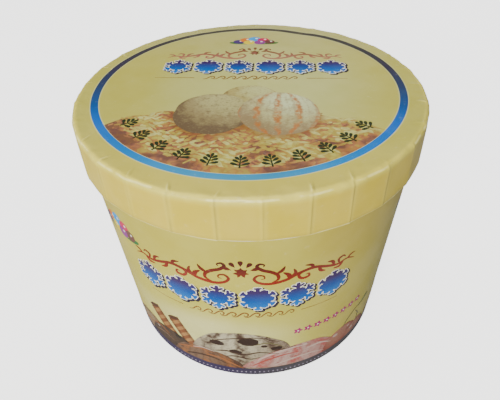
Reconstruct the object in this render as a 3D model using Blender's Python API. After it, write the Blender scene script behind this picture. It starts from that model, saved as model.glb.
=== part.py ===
"""A shut paperboard tub of ice cream: a tapered round tub under a press-on lid.

The lid is one cap of board with its paper cover drawn over the shoulder and down the
skirt in lapped pleats. The tub is a tapered round of board, full to the top, with a
lapped seam up its back and a base set up a little inside the foot.
Modelled in metres, +Z up, standing on the origin, with the middle of its printed
front towards -Y.
"""

import math
import random

import bmesh
import bpy
from mathutils import Vector

MM = 0.001

# Driving dimensions of the whole tub, in millimetres
HEIGHT = 183.0
LID_RADIUS = 115.0
FOOT_RADIUS = 101.4
MOUTH_RADIUS = 112.4

# The lid: its depth, its board, and the rounding of its shoulder
LID_DEPTH = 29.0
LID_TOP_BOARD = 1.8
SKIRT_INSIDE_RADIUS = 113.3
SHOULDER = 3.4
SKIRT_EDGE = 0.6
FIT_GAP = 0.3

# The lid's pleats: how many, how far each gore laps the next, and how flat it lies
PLEATS = 29
FIRST_CREASE_DEG = -5.7
PLEAT_LAP = 0.3
GORE_FLATNESS = 0.4
CREASE_HALF_WIDTH_DEG = 0.45
PLEAT_WANDER_DEG = 0.5
RIDGE_HEIGHT = 0.7
RIDGE_INNER_RADIUS = 101.0

# A shallow dent that the lid's top has near its back edge
DENT_DEPTH = 0.8
DENT_BEARING_DEG = 160.0
DENT_RADIUS = 98.0
DENT_SPREAD = 13.0

# The tub: the folded foot, the base set up inside it, and the seam up the back
FOOT_WIDTH = 3.4
FOOT_ROUNDING = 0.7
BASE_RECESS = 4.0
SEAM_LAP_WIDTH = 10.0
SEAM_LAP_HEIGHT = 0.4
SEAM_BEARING_DEG = 180.0
WALL_COLUMNS = 84

# Colours of the two boards, as linear values
LID_YELLOW = (0.62, 0.53, 0.24, 1.0)
WALL_YELLOW = (0.56, 0.48, 0.22, 1.0)
BOARD_ROUGHNESS = 0.5
SMOOTH_ANGLE = math.radians(35.0)


def bearing_point(radius, bearing_deg, height):
    """A point at a bearing measured from the front (-Y) towards +X, in millimetres."""
    turn = math.radians(bearing_deg)
    return Vector((radius * math.sin(turn), -radius * math.cos(turn), height))


def board(name, colour):
    """A satin paper-covered board of one colour."""
    material = bpy.data.materials.new(name)
    material.use_nodes = True
    shader = material.node_tree.nodes["Principled BSDF"]
    shader.inputs["Base Color"].default_value = colour
    shader.inputs["Roughness"].default_value = BOARD_ROUGHNESS
    shader.inputs["Metallic"].default_value = 0.0
    material.diffuse_color = colour
    return material


def skin(name, bearings, rows, low_pole, high_pole, material, lift):
    """Skins rings of points into one closed round body, standing lift above the origin.

    Each row gives the points of one ring for the bearings. The poles are the two
    heights on the axis that close the first and the last ring.
    """
    bm = bmesh.new()
    rings = []
    for row in rows:
        points = [row(bearing) - Vector((0.0, 0.0, lift)) for bearing in bearings]
        rings.append([bm.verts.new(point * MM) for point in points])
    count = len(bearings)
    for lower, upper in zip(rings, rings[1:]):
        for i in range(count):
            j = (i + 1) % count
            bm.faces.new((lower[i], lower[j], upper[j], upper[i]))
    first_pole = bm.verts.new((0.0, 0.0, (low_pole - lift) * MM))
    last_pole = bm.verts.new((0.0, 0.0, (high_pole - lift) * MM))
    for i in range(count):
        j = (i + 1) % count
        bm.faces.new((rings[0][j], rings[0][i], first_pole))
        bm.faces.new((rings[-1][i], rings[-1][j], last_pole))
    bmesh.ops.recalc_face_normals(bm, faces=bm.faces)
    mesh = bpy.data.meshes.new(name)
    bm.to_mesh(mesh)
    bm.free()
    mesh.materials.append(material)
    mesh.shade_smooth()
    mesh.set_sharp_from_angle(angle=SMOOTH_ANGLE)
    body = bpy.data.objects.new(name, mesh)
    body.location = (0.0, 0.0, lift * MM)
    bpy.context.scene.collection.objects.link(body)
    return body


def crease_bearings():
    """The bearings of the lid's creases, which wander a little from an even pitch."""
    pitch = 360.0 / PLEATS
    draw = random.Random(7)
    return [
        FIRST_CREASE_DEG + i * pitch + draw.uniform(-PLEAT_WANDER_DEG, PLEAT_WANDER_DEG)
        for i in range(PLEATS)
    ]


def ridge_strengths():
    """How high each crease stands on the lid's top, from nearly flat to full."""
    draw = random.Random(11)
    return [draw.uniform(0.25, 1.0) for _ in range(PLEATS)]


def lid_columns(creases):
    """The lid's columns: three close ones at each crease and three across its gore.

    Each column is (bearing, lap, flatness, ridge, index of the crease): how far the
    paper is lifted by its lap, how far the gore lies inside the round, and how much
    of the crease's ridge it carries.
    """
    columns = []
    for i, crease in enumerate(creases):
        following = creases[i + 1] if i + 1 < PLEATS else creases[0] + 360.0
        span = following - crease
        columns.append((crease - CREASE_HALF_WIDTH_DEG, 1.0, 0.0, 0.0, i))
        columns.append((crease, 1.0, 0.0, 1.0, i))
        columns.append((crease + CREASE_HALF_WIDTH_DEG, 0.0, 0.0, 0.0, i))
        for share in (0.28, 0.5, 0.72):
            hollow = 1.0 - (2.0 * share - 1.0) ** 2
            columns.append((crease + share * span, share, hollow, 0.0, i))
    return columns


def top_dip(x, y):
    """How far the lid's top lies below its plane at a point: one soft dent."""
    centre = bearing_point(DENT_RADIUS, DENT_BEARING_DEG, 0.0)
    away = math.hypot(x - centre.x, y - centre.y) / DENT_SPREAD
    return DENT_DEPTH * math.exp(-away * away)


def make_lid():
    """The cap: flat top, rounded shoulder, pleated skirt and the plain board inside."""
    columns = lid_columns(crease_bearings())
    ridges = ridge_strengths()
    by_bearing = {column[0]: column for column in columns}
    skirt_end = HEIGHT - LID_DEPTH
    underside = HEIGHT - LID_TOP_BOARD

    def top_row(radius, ridge_share):
        def row(bearing):
            _, _, _, ridge, i = by_bearing[bearing]
            rise = RIDGE_HEIGHT * ridge_share * ridge * ridges[i]
            point = bearing_point(radius, bearing, HEIGHT)
            point.z += rise - top_dip(point.x, point.y)
            return point

        return row

    def side_row(radius, height):
        def row(bearing):
            _, lap, hollow, _, _ = by_bearing[bearing]
            drawn = radius + PLEAT_LAP * lap - GORE_FLATNESS * hollow
            return bearing_point(drawn, bearing, height)

        return row

    def round_row(radius, height):
        return lambda bearing: bearing_point(radius, bearing, height)

    flat_edge = LID_RADIUS - SHOULDER
    rows = [
        top_row(55.0, 0.0),
        top_row(88.0, 0.0),
        top_row(RIDGE_INNER_RADIUS, 0.0),
        top_row(0.5 * (RIDGE_INNER_RADIUS + flat_edge), 0.6),
        top_row(flat_edge, 1.0),
        side_row(LID_RADIUS - 0.36 * SHOULDER, HEIGHT - 0.22 * SHOULDER),
        side_row(LID_RADIUS - 0.09 * SHOULDER, HEIGHT - 0.58 * SHOULDER),
        side_row(LID_RADIUS, HEIGHT - SHOULDER),
        side_row(LID_RADIUS, skirt_end + SKIRT_EDGE),
        side_row(LID_RADIUS - 0.5 * SKIRT_EDGE, skirt_end),
        round_row(SKIRT_INSIDE_RADIUS + 0.3, skirt_end),
        round_row(SKIRT_INSIDE_RADIUS, skirt_end + 0.3),
        round_row(SKIRT_INSIDE_RADIUS, underside),
    ]
    bearings = [column[0] for column in columns]
    colour = board("lid_board", LID_YELLOW)
    return skin("lid", bearings, rows, HEIGHT, underside, colour, skirt_end)


def seam_height(bearing):
    """How far the wall stands proud where its outer edge laps the inner one."""
    lap_deg = math.degrees(SEAM_LAP_WIDTH / LID_RADIUS)
    past_edge = bearing - SEAM_BEARING_DEG
    if past_edge < 0.0 or past_edge > 1.3 * lap_deg:
        return 0.0
    fade = min(1.0, (1.3 * lap_deg - past_edge) / (0.3 * lap_deg))
    return SEAM_LAP_HEIGHT * fade


def wall_bearings():
    """Even columns round the wall, with close ones at the seam's edge and lap."""
    lap_deg = math.degrees(SEAM_LAP_WIDTH / LID_RADIUS)
    pitch = 360.0 / WALL_COLUMNS
    seam_end = SEAM_BEARING_DEG + 1.3 * lap_deg
    close = [SEAM_BEARING_DEG, SEAM_BEARING_DEG + lap_deg, seam_end]
    even = [
        SEAM_BEARING_DEG + i * pitch
        for i in range(1, WALL_COLUMNS)
        if SEAM_BEARING_DEG + i * pitch > seam_end + 0.3 * pitch
    ]
    return close + even + [SEAM_BEARING_DEG + 359.8]


def make_tub():
    """The tub: folded foot, tapered wall with its lapped seam, full to the mouth."""
    mouth = HEIGHT - LID_TOP_BOARD - FIT_GAP
    inner_foot = FOOT_RADIUS - FOOT_WIDTH

    def plain(radius, height):
        return lambda bearing: bearing_point(radius, bearing, height)

    def wall(radius, height):
        def row(bearing):
            return bearing_point(radius + seam_height(bearing), bearing, height)

        return row

    rows = [
        plain(inner_foot - 0.6, BASE_RECESS),
        plain(inner_foot, BASE_RECESS - 0.6),
        plain(inner_foot, 0.4),
        plain(inner_foot + 0.4, 0.0),
        wall(FOOT_RADIUS - FOOT_ROUNDING, 0.0),
        wall(FOOT_RADIUS, FOOT_ROUNDING),
        wall(MOUTH_RADIUS, mouth - 0.8),
        wall(MOUTH_RADIUS - 0.8, mouth),
    ]
    colour = board("wall_board", WALL_YELLOW)
    return skin("tub", wall_bearings(), rows, BASE_RECESS, mouth, colour, 0.0)


for leftover in list(bpy.data.objects):
    bpy.data.objects.remove(leftover)
make_tub()
make_lid()
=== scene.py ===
"""The looks of a shut paperboard tub of ice cream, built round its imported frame.

The tub stands on a pale floor under soft light, seen from above its printed front.
Everything is in metres, +Z up, with the middle of the printed front towards -Y.
"""

import math
import random

import bmesh
import bpy
import numpy as np
from mathutils import Matrix, Vector


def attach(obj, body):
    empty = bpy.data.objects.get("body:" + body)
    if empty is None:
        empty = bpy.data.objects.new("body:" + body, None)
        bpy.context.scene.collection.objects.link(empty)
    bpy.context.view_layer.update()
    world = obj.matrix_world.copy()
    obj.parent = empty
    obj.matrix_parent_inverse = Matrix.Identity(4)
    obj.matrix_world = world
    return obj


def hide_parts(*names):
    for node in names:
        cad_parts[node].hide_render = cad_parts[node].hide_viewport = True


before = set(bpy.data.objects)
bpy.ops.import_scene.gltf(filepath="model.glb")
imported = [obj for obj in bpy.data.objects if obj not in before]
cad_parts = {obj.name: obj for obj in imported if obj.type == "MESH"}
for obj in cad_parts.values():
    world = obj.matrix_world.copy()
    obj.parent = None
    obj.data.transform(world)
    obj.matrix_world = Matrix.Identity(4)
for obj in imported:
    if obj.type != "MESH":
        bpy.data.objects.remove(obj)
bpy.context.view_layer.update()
MM = 0.001


# The view. The pack is looked down on from about one and two thirds of its width away, a
# little to the right of the middle of its print, with a normal lens held slightly tilted.
VIEW_BEARING = math.radians(4.7)
VIEW_ELEVATION = math.radians(40.47)
VIEW_ROLL = math.radians(-1.908)
VIEW_DISTANCE = 0.3857
VIEW_AIM = Vector((-0.0022655, 0.0, 0.085307))


def linked(name, data):
    """A new object of the scene round its mesh, camera or lamp."""
    thing = bpy.data.objects.new(name, data)
    bpy.context.scene.collection.objects.link(thing)
    return thing


lens = bpy.data.cameras.new("view")
lens.sensor_width = 36.0
lens.lens = 35.06
lens.clip_start = 0.01
camera = linked("view", lens)
camera.matrix_world = (
    Matrix.Rotation(VIEW_BEARING, 4, "Z")
    @ Matrix.Translation(VIEW_AIM)
    @ Matrix.Rotation(math.pi / 2.0 - VIEW_ELEVATION, 4, "X")
    @ Matrix.Translation((0.0, 0.0, VIEW_DISTANCE))
    @ Matrix.Rotation(VIEW_ROLL, 4, "Z")
)
bpy.context.scene.camera = camera


# The wall. One sheet of printed, varnished board is rolled into a tapered sleeve, lapped
# and glued up the back, and its lower edge is turned in and pressed flat as the foot.
WALL_FOOT_RADIUS = 101.4 * MM
WALL_MOUTH_RADIUS = 112.4 * MM
WALL_HEIGHT = 180.9 * MM
INNER_FOOT_RADIUS = 98.0 * MM
BASE_RECESS = 4.0 * MM
SEAM_SIZES = {
    "Seam Bearing": math.pi, "Seam Lap": math.radians(5.2), "Seam Thickness": 0.35 * MM,
}
NO_SEAM = {"Seam Bearing": 0.0, "Seam Lap": 1.0, "Seam Thickness": 0.0}
TURN = 2.0 * math.pi


class Field:
    """An output of a node, which can be reckoned with like a plain number."""

    def __init__(self, socket):
        self.socket = socket
        self.tree = socket.id_data

    def __add__(self, other):
        return number("ADD", self, other)

    def __sub__(self, other):
        return number("SUBTRACT", self, other)

    def __rsub__(self, other):
        return number("SUBTRACT", other, self)

    def __mul__(self, other):
        return number("MULTIPLY", self, other)

    def __truediv__(self, other):
        return number("DIVIDE", self, other)


def feed(socket, value):
    """Feeds a socket from a field, or sets it to a plain value."""
    if isinstance(value, Field):
        value.tree.links.new(value.socket, socket)
    else:
        socket.default_value = (*value, 1.0) if socket.type == "RGBA" else value


def fed_node(tree, kind, inputs=None, **settings):
    """The outputs of a new node, with its settings made and then its inputs fed."""
    node = tree.nodes.new(kind)
    for label, value in settings.items():
        setattr(node, label, value)
    for label, value in (inputs or {}).items():
        feed(node.inputs[label], value)
    return [Field(socket) for socket in node.outputs]


def number(operation, *values):
    """A Math node fed by fields and plain numbers, in the tree of the first field."""
    tree = next(value.tree for value in values if isinstance(value, Field))
    return fed_node(tree, "ShaderNodeMath", dict(enumerate(values)), operation=operation)[0]


def clamped(value):
    """A value held between 0 and 1."""
    return number("MINIMUM", number("MAXIMUM", value, 0.0), 1.0)


def hypotenuse(across, along):
    """The distance from the origin of a place in the plane."""
    return number("SQRT", across * across + along * along)


def split(vector):
    """The three parts of a vector."""
    return fed_node(vector.tree, "ShaderNodeSeparateXYZ", {0: vector})


def geometry_tree(name, work, **kinds):
    """A geometry tree whose inputs are of the kinds named, with its geometry and material.

    The work makes geometry from the tree and its inputs by name. That geometry is then
    made real and given the material.
    """
    tree = bpy.data.node_groups.new(name, "GeometryNodeTree")
    tree.interface.new_socket("Geometry", in_out="OUTPUT", socket_type="NodeSocketGeometry")
    for kind, labels in {"Geometry": ["Geometry"], **kinds, "Material": ["Material"]}.items():
        for label in labels:
            tree.interface.new_socket(label, in_out="INPUT", socket_type="NodeSocket" + kind)
    outputs = tree.nodes.new("NodeGroupInput").outputs
    given = {socket.name: Field(socket) for socket in outputs if socket.name}
    real = fed_node(tree, "GeometryNodeRealizeInstances", {0: work(tree, given)})[0]
    inputs = {"Geometry": real, "Material": given["Material"]}
    dressed = fed_node(tree, "GeometryNodeSetMaterial", inputs)[0]
    feed(tree.nodes.new("NodeGroupOutput").inputs[0], dressed)
    return tree


def moved(geometry, **way):
    """Geometry with its points set to a Position, or moved by an Offset."""
    return fed_node(geometry.tree, "GeometryNodeSetPosition", {"Geometry": geometry, **way})[0]


def apply_tree(piece, tree, material, values):
    """Runs a geometry tree on a piece and keeps the result as its plain mesh."""
    values = {"Material": material, **values}
    modifier = piece.modifiers.new(tree.name, "NODES")
    modifier.node_group = tree
    for socket in tree.interface.items_tree:
        if socket.in_out == "INPUT" and socket.name in values:
            modifier[socket.identifier] = values[socket.name]
    graph = bpy.context.evaluated_depsgraph_get()
    mesh = bpy.data.meshes.new_from_object(piece.evaluated_get(graph))
    piece.modifiers.clear()
    piece.data = mesh
    mesh.name = piece.name
    return piece


def seam_rise(bearing, given):
    """How far the wall stands proud at a bearing: full on its lap, and none elsewhere."""
    lap_and_fade = 1.3
    steepness = 3.3
    past = number("FLOORED_MODULO", bearing - given["Seam Bearing"], TURN)
    left = (given["Seam Lap"] * lap_and_fade - past) / given["Seam Lap"]
    return clamped(left * steepness) * given["Seam Thickness"]


def turned_point(radius, bearing, height):
    """The point at a radius, a bearing from the front (-Y) towards +X, and a height."""
    side = radius * number("SINE", bearing)
    back = radius * number("COSINE", bearing) * -1.0
    return fed_node(radius.tree, "ShaderNodeCombineXYZ", {0: side, 1: back, 2: height})[0]


def turned_grid(tree, given, columns):
    """A grid whose rows follow the profile's points and whose columns go round the axis.

    Returns the grid, each point's column, the radius and height of its row, and a
    function that reads the numbers stored on the profile under a name.
    """
    rows = fed_node(tree, "GeometryNodeAttributeDomainSize", {0: given["Geometry"]})[0]
    inputs = {"Vertices X": columns + 1.0, "Vertices Y": rows}
    grid = fed_node(tree, "GeometryNodeMeshGrid", inputs)[0]
    index = fed_node(tree, "GeometryNodeInputIndex")[0]
    row = number("FLOORED_MODULO", index, rows)
    column = number("FLOOR", (index + 0.5) / rows)

    def sampled(field, kind):
        inputs = {"Geometry": given["Geometry"], "Value": field, "Index": row}
        return fed_node(tree, "GeometryNodeSampleIndex", inputs, data_type=kind)[0]

    def marked(name):
        kind = "GeometryNodeInputNamedAttribute"
        return sampled(fed_node(tree, kind, {"Name": name}, data_type="FLOAT")[0], "FLOAT")

    position = fed_node(tree, "GeometryNodeInputPosition")[0]
    radius, _, height = split(sampled(position, "FLOAT_VECTOR"))
    return grid, column, radius, height, marked


def close_up(grid, position):
    """Puts a turned grid's points in place and closes its seam and its poles."""
    inputs = {0: moved(grid, Position=position), "Distance": 0.01 * MM}
    return fed_node(grid.tree, "GeometryNodeMergeByDistance", inputs)[0]


def turned_board(tree, given):
    """Turns a profile round the axis, with the wall's lapped seam where it is wanted.

    The last column is a narrow one, and makes the steep step at the seam's edge.
    """
    columns = given["Columns"]
    grid, column, radius, height, marked = turned_grid(tree, given, columns)
    step_width = 0.0026
    share = number("MINIMUM", column / (columns - 1.0), 1.0)
    last = number("GREATER_THAN", column, columns - 0.5)
    bearing = share * (TURN - step_width) + last * step_width + given["Seam Bearing"]
    radius = radius + seam_rise(bearing, given) * marked("lapped")
    return close_up(grid, turned_point(radius, bearing, height))


def turned_piece(name, rows, marks, tree, material, values, sharp_deg):
    """A closed piece turned by a tree from rows, each a radius, a height and its marks."""
    mesh = bpy.data.meshes.new(name)
    mesh.from_pydata([(row[0], 0.0, row[1]) for row in rows], [], [])
    for i, mark in enumerate(marks):
        numbers = [row[2 + i] for row in rows]
        mesh.attributes.new(mark, "FLOAT", "POINT").data.foreach_set("value", numbers)
    piece = apply_tree(linked(name, mesh), tree, material, values)
    bm = bmesh.new()
    bm.from_mesh(piece.data)
    bmesh.ops.recalc_face_normals(bm, faces=bm.faces)
    bm.to_mesh(piece.data)
    bm.free()
    piece.data.shade_smooth()
    piece.data.set_sharp_from_angle(angle=math.radians(sharp_deg))
    return piece


def painted(name):
    """A new material and its node tree."""
    material = bpy.data.materials.new(name)
    material.use_nodes = True
    return material, material.node_tree


def own_place(tree):
    """The place on the piece, in its own metres."""
    return fed_node(tree, "ShaderNodeTexCoord")[3]


def blend(share, first, second):
    """A colour between two colours, by a share from 0 to 1."""
    inputs = {0: share, 6: first, 7: second}
    return fed_node(share.tree, "ShaderNodeMix", inputs, data_type="RGBA")[2]


def between(value, low, high):
    """A smooth share, 0 where a value is low and 1 where it is high."""
    inputs = {"Value": value, "From Min": low, "From Max": high}
    return fed_node(value.tree, "ShaderNodeMapRange", inputs, interpolation_type="SMOOTHSTEP")[0]


def cloud(vector, scale, detail=2.0, stretch=None, roughness=0.5):
    """A noise value from about 0.2 to 0.8, on a vector that may be stretched."""
    if stretch:
        inputs = {"Vector": vector, "Scale": stretch}
        vector = fed_node(vector.tree, "ShaderNodeMapping", inputs)[0]
    inputs = {"Vector": vector, "Scale": scale, "Detail": detail, "Roughness": roughness}
    return fed_node(vector.tree, "ShaderNodeTexNoise", inputs)[0]


def shader_group(name, labels, work):
    """A shader group of numbers, whose outputs are worked out from its tree and inputs."""
    tree = bpy.data.node_groups.new(name, "ShaderNodeTree")
    for label in labels:
        tree.interface.new_socket(label, in_out="INPUT", socket_type="NodeSocketFloat")
    outputs = tree.nodes.new("NodeGroupInput").outputs
    results = work(tree, {label: Field(outputs[label]) for label in labels})
    for label in results:
        tree.interface.new_socket(label, in_out="OUTPUT", socket_type="NodeSocketFloat")
    ends = tree.nodes.new("NodeGroupOutput").inputs
    for label, value in results.items():
        feed(ends[label], value)
    return tree


def paper_values(tree, given):
    """Varnished paper over board: a soft mottle, fine fibres, and now and then a rub."""
    place = own_place(tree)
    mottle = between(cloud(place, 38.0, 3.0), 0.3, 0.7)
    fibre = cloud(place, given["Fibre Scale"], 4.0)
    rub = between(cloud(place, given["Rub Scale"], 6.0, roughness=0.7), 0.6, 0.72)
    rough = rub * 0.12 + (fibre * 0.08 + (mottle * 0.08 + 0.36))
    return {"Mottle": mottle, "Fibre": fibre, "Rub": rub, "Roughness": rough}


VARNISHED = shader_group("varnished_paper", ("Fibre Scale", "Rub Scale"), paper_values)


def finish_print(material, colour, rubbed, emboss=0.0):
    """Finishes a print colour as varnished paper: mottle, rubs, gloss and fibre."""
    tree = material.node_tree
    shader = tree.nodes["Principled BSDF"].inputs
    inputs = {"Fibre Scale": 1400.0, "Rub Scale": 210.0}
    mottle, fibre, rub, rough = fed_node(tree, "ShaderNodeGroup", inputs, node_tree=VARNISHED)
    inputs = {"Saturation": 1.05, "Value": 0.93, "Color": colour}
    colour = blend(mottle, colour, fed_node(tree, "ShaderNodeHueSaturation", inputs)[0])
    colour = blend(rub * rubbed, colour, (0.72, 0.69, 0.58))
    inputs = {"Strength": 0.25, "Distance": 0.12 * MM, "Height": fibre * 0.35 + emboss}
    feed(shader["Base Color"], colour)
    feed(shader["Roughness"], rough)
    feed(shader["Specular IOR Level"], 0.22)
    feed(shader["Normal"], fed_node(tree, "ShaderNodeBump", inputs)[0])


# The sleeve's print: yellow from the top, paling above the pictures, dark at the foot
DEEP_YELLOW = (0.405, 0.358, 0.060)
WARM_YELLOW = (0.385, 0.315, 0.058)
PALE_YELLOW = (0.440, 0.425, 0.088)
GLOW_YELLOW = (0.450, 0.425, 0.130)
MIST_YELLOW = (0.550, 0.535, 0.285)
FOOT_PURPLE = (0.024, 0.016, 0.052)
FOOT_GREY = (0.040, 0.036, 0.044)
BOARD_WHITE = (0.62, 0.60, 0.54)

wall_paper, tree = painted("wall_paper")
across, along, up = split(own_place(tree))
bearing = number("ARCTAN2", across, along * -1.0)
roll = number("COSINE", bearing * 3.0 + 0.75)
over = up - (roll * (9.0 * MM) + 52.0 * MM)
colour = blend(between(roll, 0.2, -0.9), DEEP_YELLOW, WARM_YELLOW)
glow = between(over, 34.0 * MM, 4.0 * MM) * (roll * 0.42 + 0.43)
colour = blend(glow, colour, GLOW_YELLOW)
mist = between(over, 18.0 * MM, 0.0) * number("MAXIMUM", roll * 0.55 + 0.3, 0.0)
colour = blend(mist, colour, MIST_YELLOW)
colour = blend(between(up, 150.0 * MM, 85.0 * MM) * 0.35, colour, PALE_YELLOW)
foot_band = between(up - (roll * (-0.4 * MM) + 10.2 * MM), 0.4 * MM, -0.4 * MM)
dusk = blend(between(number("SINE", bearing * 3.0), -0.6, 0.9), FOOT_PURPLE, FOOT_GREY)
colour = blend(foot_band, colour, dusk)
seam_edge = between(number("ABSOLUTE", across + 0.1 * MM), 0.45 * MM, 0.15 * MM)
seam_edge = seam_edge * number("GREATER_THAN", along, 0.0)
colour = blend(seam_edge * 0.5, colour, BOARD_WHITE)
from_axis = hypotenuse(across, along)
unprinted = between(from_axis, WALL_FOOT_RADIUS - 0.6 * MM, WALL_FOOT_RADIUS - 1.2 * MM)
unprinted = unprinted * number("LESS_THAN", up, 10.0 * MM)
finish_print(wall_paper, blend(unprinted, colour, BOARD_WHITE), 0.08)

# Each row is a radius, a height, and how far the seam's lap is felt there
wall_rows = [
    (0.0, BASE_RECESS + 0.6 * MM, 0.0),
    (INNER_FOOT_RADIUS, BASE_RECESS + 0.6 * MM, 0.0),
    (INNER_FOOT_RADIUS, 0.6 * MM, 0.0),
    (INNER_FOOT_RADIUS + 0.2 * MM, 0.15 * MM, 0.0),
    (INNER_FOOT_RADIUS + 0.5 * MM, 0.0, 0.3),
    (WALL_FOOT_RADIUS - 0.9 * MM, 0.0, 1.0),
    (WALL_FOOT_RADIUS - 0.45 * MM, 0.1 * MM, 1.0),
    (WALL_FOOT_RADIUS - 0.12 * MM, 0.4 * MM, 1.0),
]
for step in range(19):
    height = 0.9 * MM + (WALL_HEIGHT - 1.7 * MM) * step / 18.0
    taper = (WALL_MOUTH_RADIUS - WALL_FOOT_RADIUS) * height / WALL_HEIGHT
    wall_rows.append((WALL_FOOT_RADIUS + taper, height, 1.0))
wall_rows += [(WALL_MOUTH_RADIUS - 0.8 * MM, WALL_HEIGHT, 1.0), (0.0, WALL_HEIGHT, 0.0)]

TURNED = geometry_tree("turned_board", turned_board, Int=["Columns"], Float=list(NO_SEAM))
sizes = {"Columns": 576, **SEAM_SIZES}
wall = turned_piece("wall", wall_rows, ["lapped"], TURNED, wall_paper, sizes, 40.0)
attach(wall, "root")
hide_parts("tub")


# The base. A plain disc of board, flanged and gripped in the folded foot, is set up a few
# millimetres inside it; it is unprinted, with a shallow ring pressed into it.
bare_board, tree = painted("bare_board")
place = own_place(tree)
flecks = between(cloud(place, 900.0, 5.0), 0.52, 0.72)
colour = blend(flecks * 0.5, BOARD_WHITE, (0.40, 0.37, 0.31))
finish_print(bare_board, colour, 0.15, cloud(place, 320.0, 3.0))


def plain_turned(name, points, columns):
    """A turned piece of bare board with no seam, its profile given in millimetres."""
    rows = [(radius * MM, height * MM, 0.0) for radius, height in points]
    sizes = {"Columns": columns, **NO_SEAM}
    return turned_piece(name, rows, ["lapped"], TURNED, bare_board, sizes, 30.0)


base = plain_turned("base", [
    (0, 3.9), (58, 3.9), (59, 3.6), (62, 3.6), (63, 3.9),
    (96.8, 3.9), (97.6, 3.5), (97.9, 4.9), (0, 4.9),
], 180)
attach(base, "root")


# The lid's cover. Printed paper is glued over a board cap: flat on top, drawn over the
# shoulder and down the skirt, where the fullness is laid in flat, lapped pleats.
LID_TOP = 183.0 * MM
LID_RADIUS = 115.0 * MM
COVER_END = 154.5 * MM
SHOULDER_IN = 3.4 * MM
SHOULDER_DOWN = 3.2 * MM
DENT_PLACE = (33.5 * MM, 92.1 * MM, 0.0)
COVER_SIZES = {
    "First Crease": math.radians(-5.7), "Wander": 0.006, "Flatness": 0.4 * MM, "Lap": 0.3 * MM,
    "Ridge Height": 0.62 * MM, "Ridge Width": 0.85 * MM, "Ridge Start": 113.0 * MM,
    "Dent Depth": 0.8 * MM, "Dent Spread": 13.0 * MM, "Crumple": 0.9 * MM, "Hang": 0.3 * MM,
}


def random_value(tree, low, high, seed, **owner):
    """A random number or vector, its own for each point or for each ID."""
    first, kind = (0, "FLOAT_VECTOR") if isinstance(low, tuple) else (2, "FLOAT")
    inputs = {first: low, first + 1: high, "Seed": seed, **owner}
    return fed_node(tree, "FunctionNodeRandomValue", inputs, data_type=kind)[first // 2]


def distance(point, centre):
    """How far a point is from a centre."""
    return fed_node(point.tree, "ShaderNodeVectorMath", {0: point, 1: centre}, operation="DISTANCE")[1]


def bell(value, sharpness=1.0):
    """A soft bump, 1 where a value is 0 and almost gone where it is 2 or -2."""
    return number("EXPONENT", value * value * -sharpness)


def marked_as(geometry, name, value, domain="POINT"):
    """Geometry with a number stored on it under a name."""
    inputs = {"Geometry": geometry, "Name": name, "Value": value}
    kind = "GeometryNodeStoreNamedAttribute"
    return fed_node(geometry.tree, kind, inputs, data_type="FLOAT", domain=domain)[0]


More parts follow.
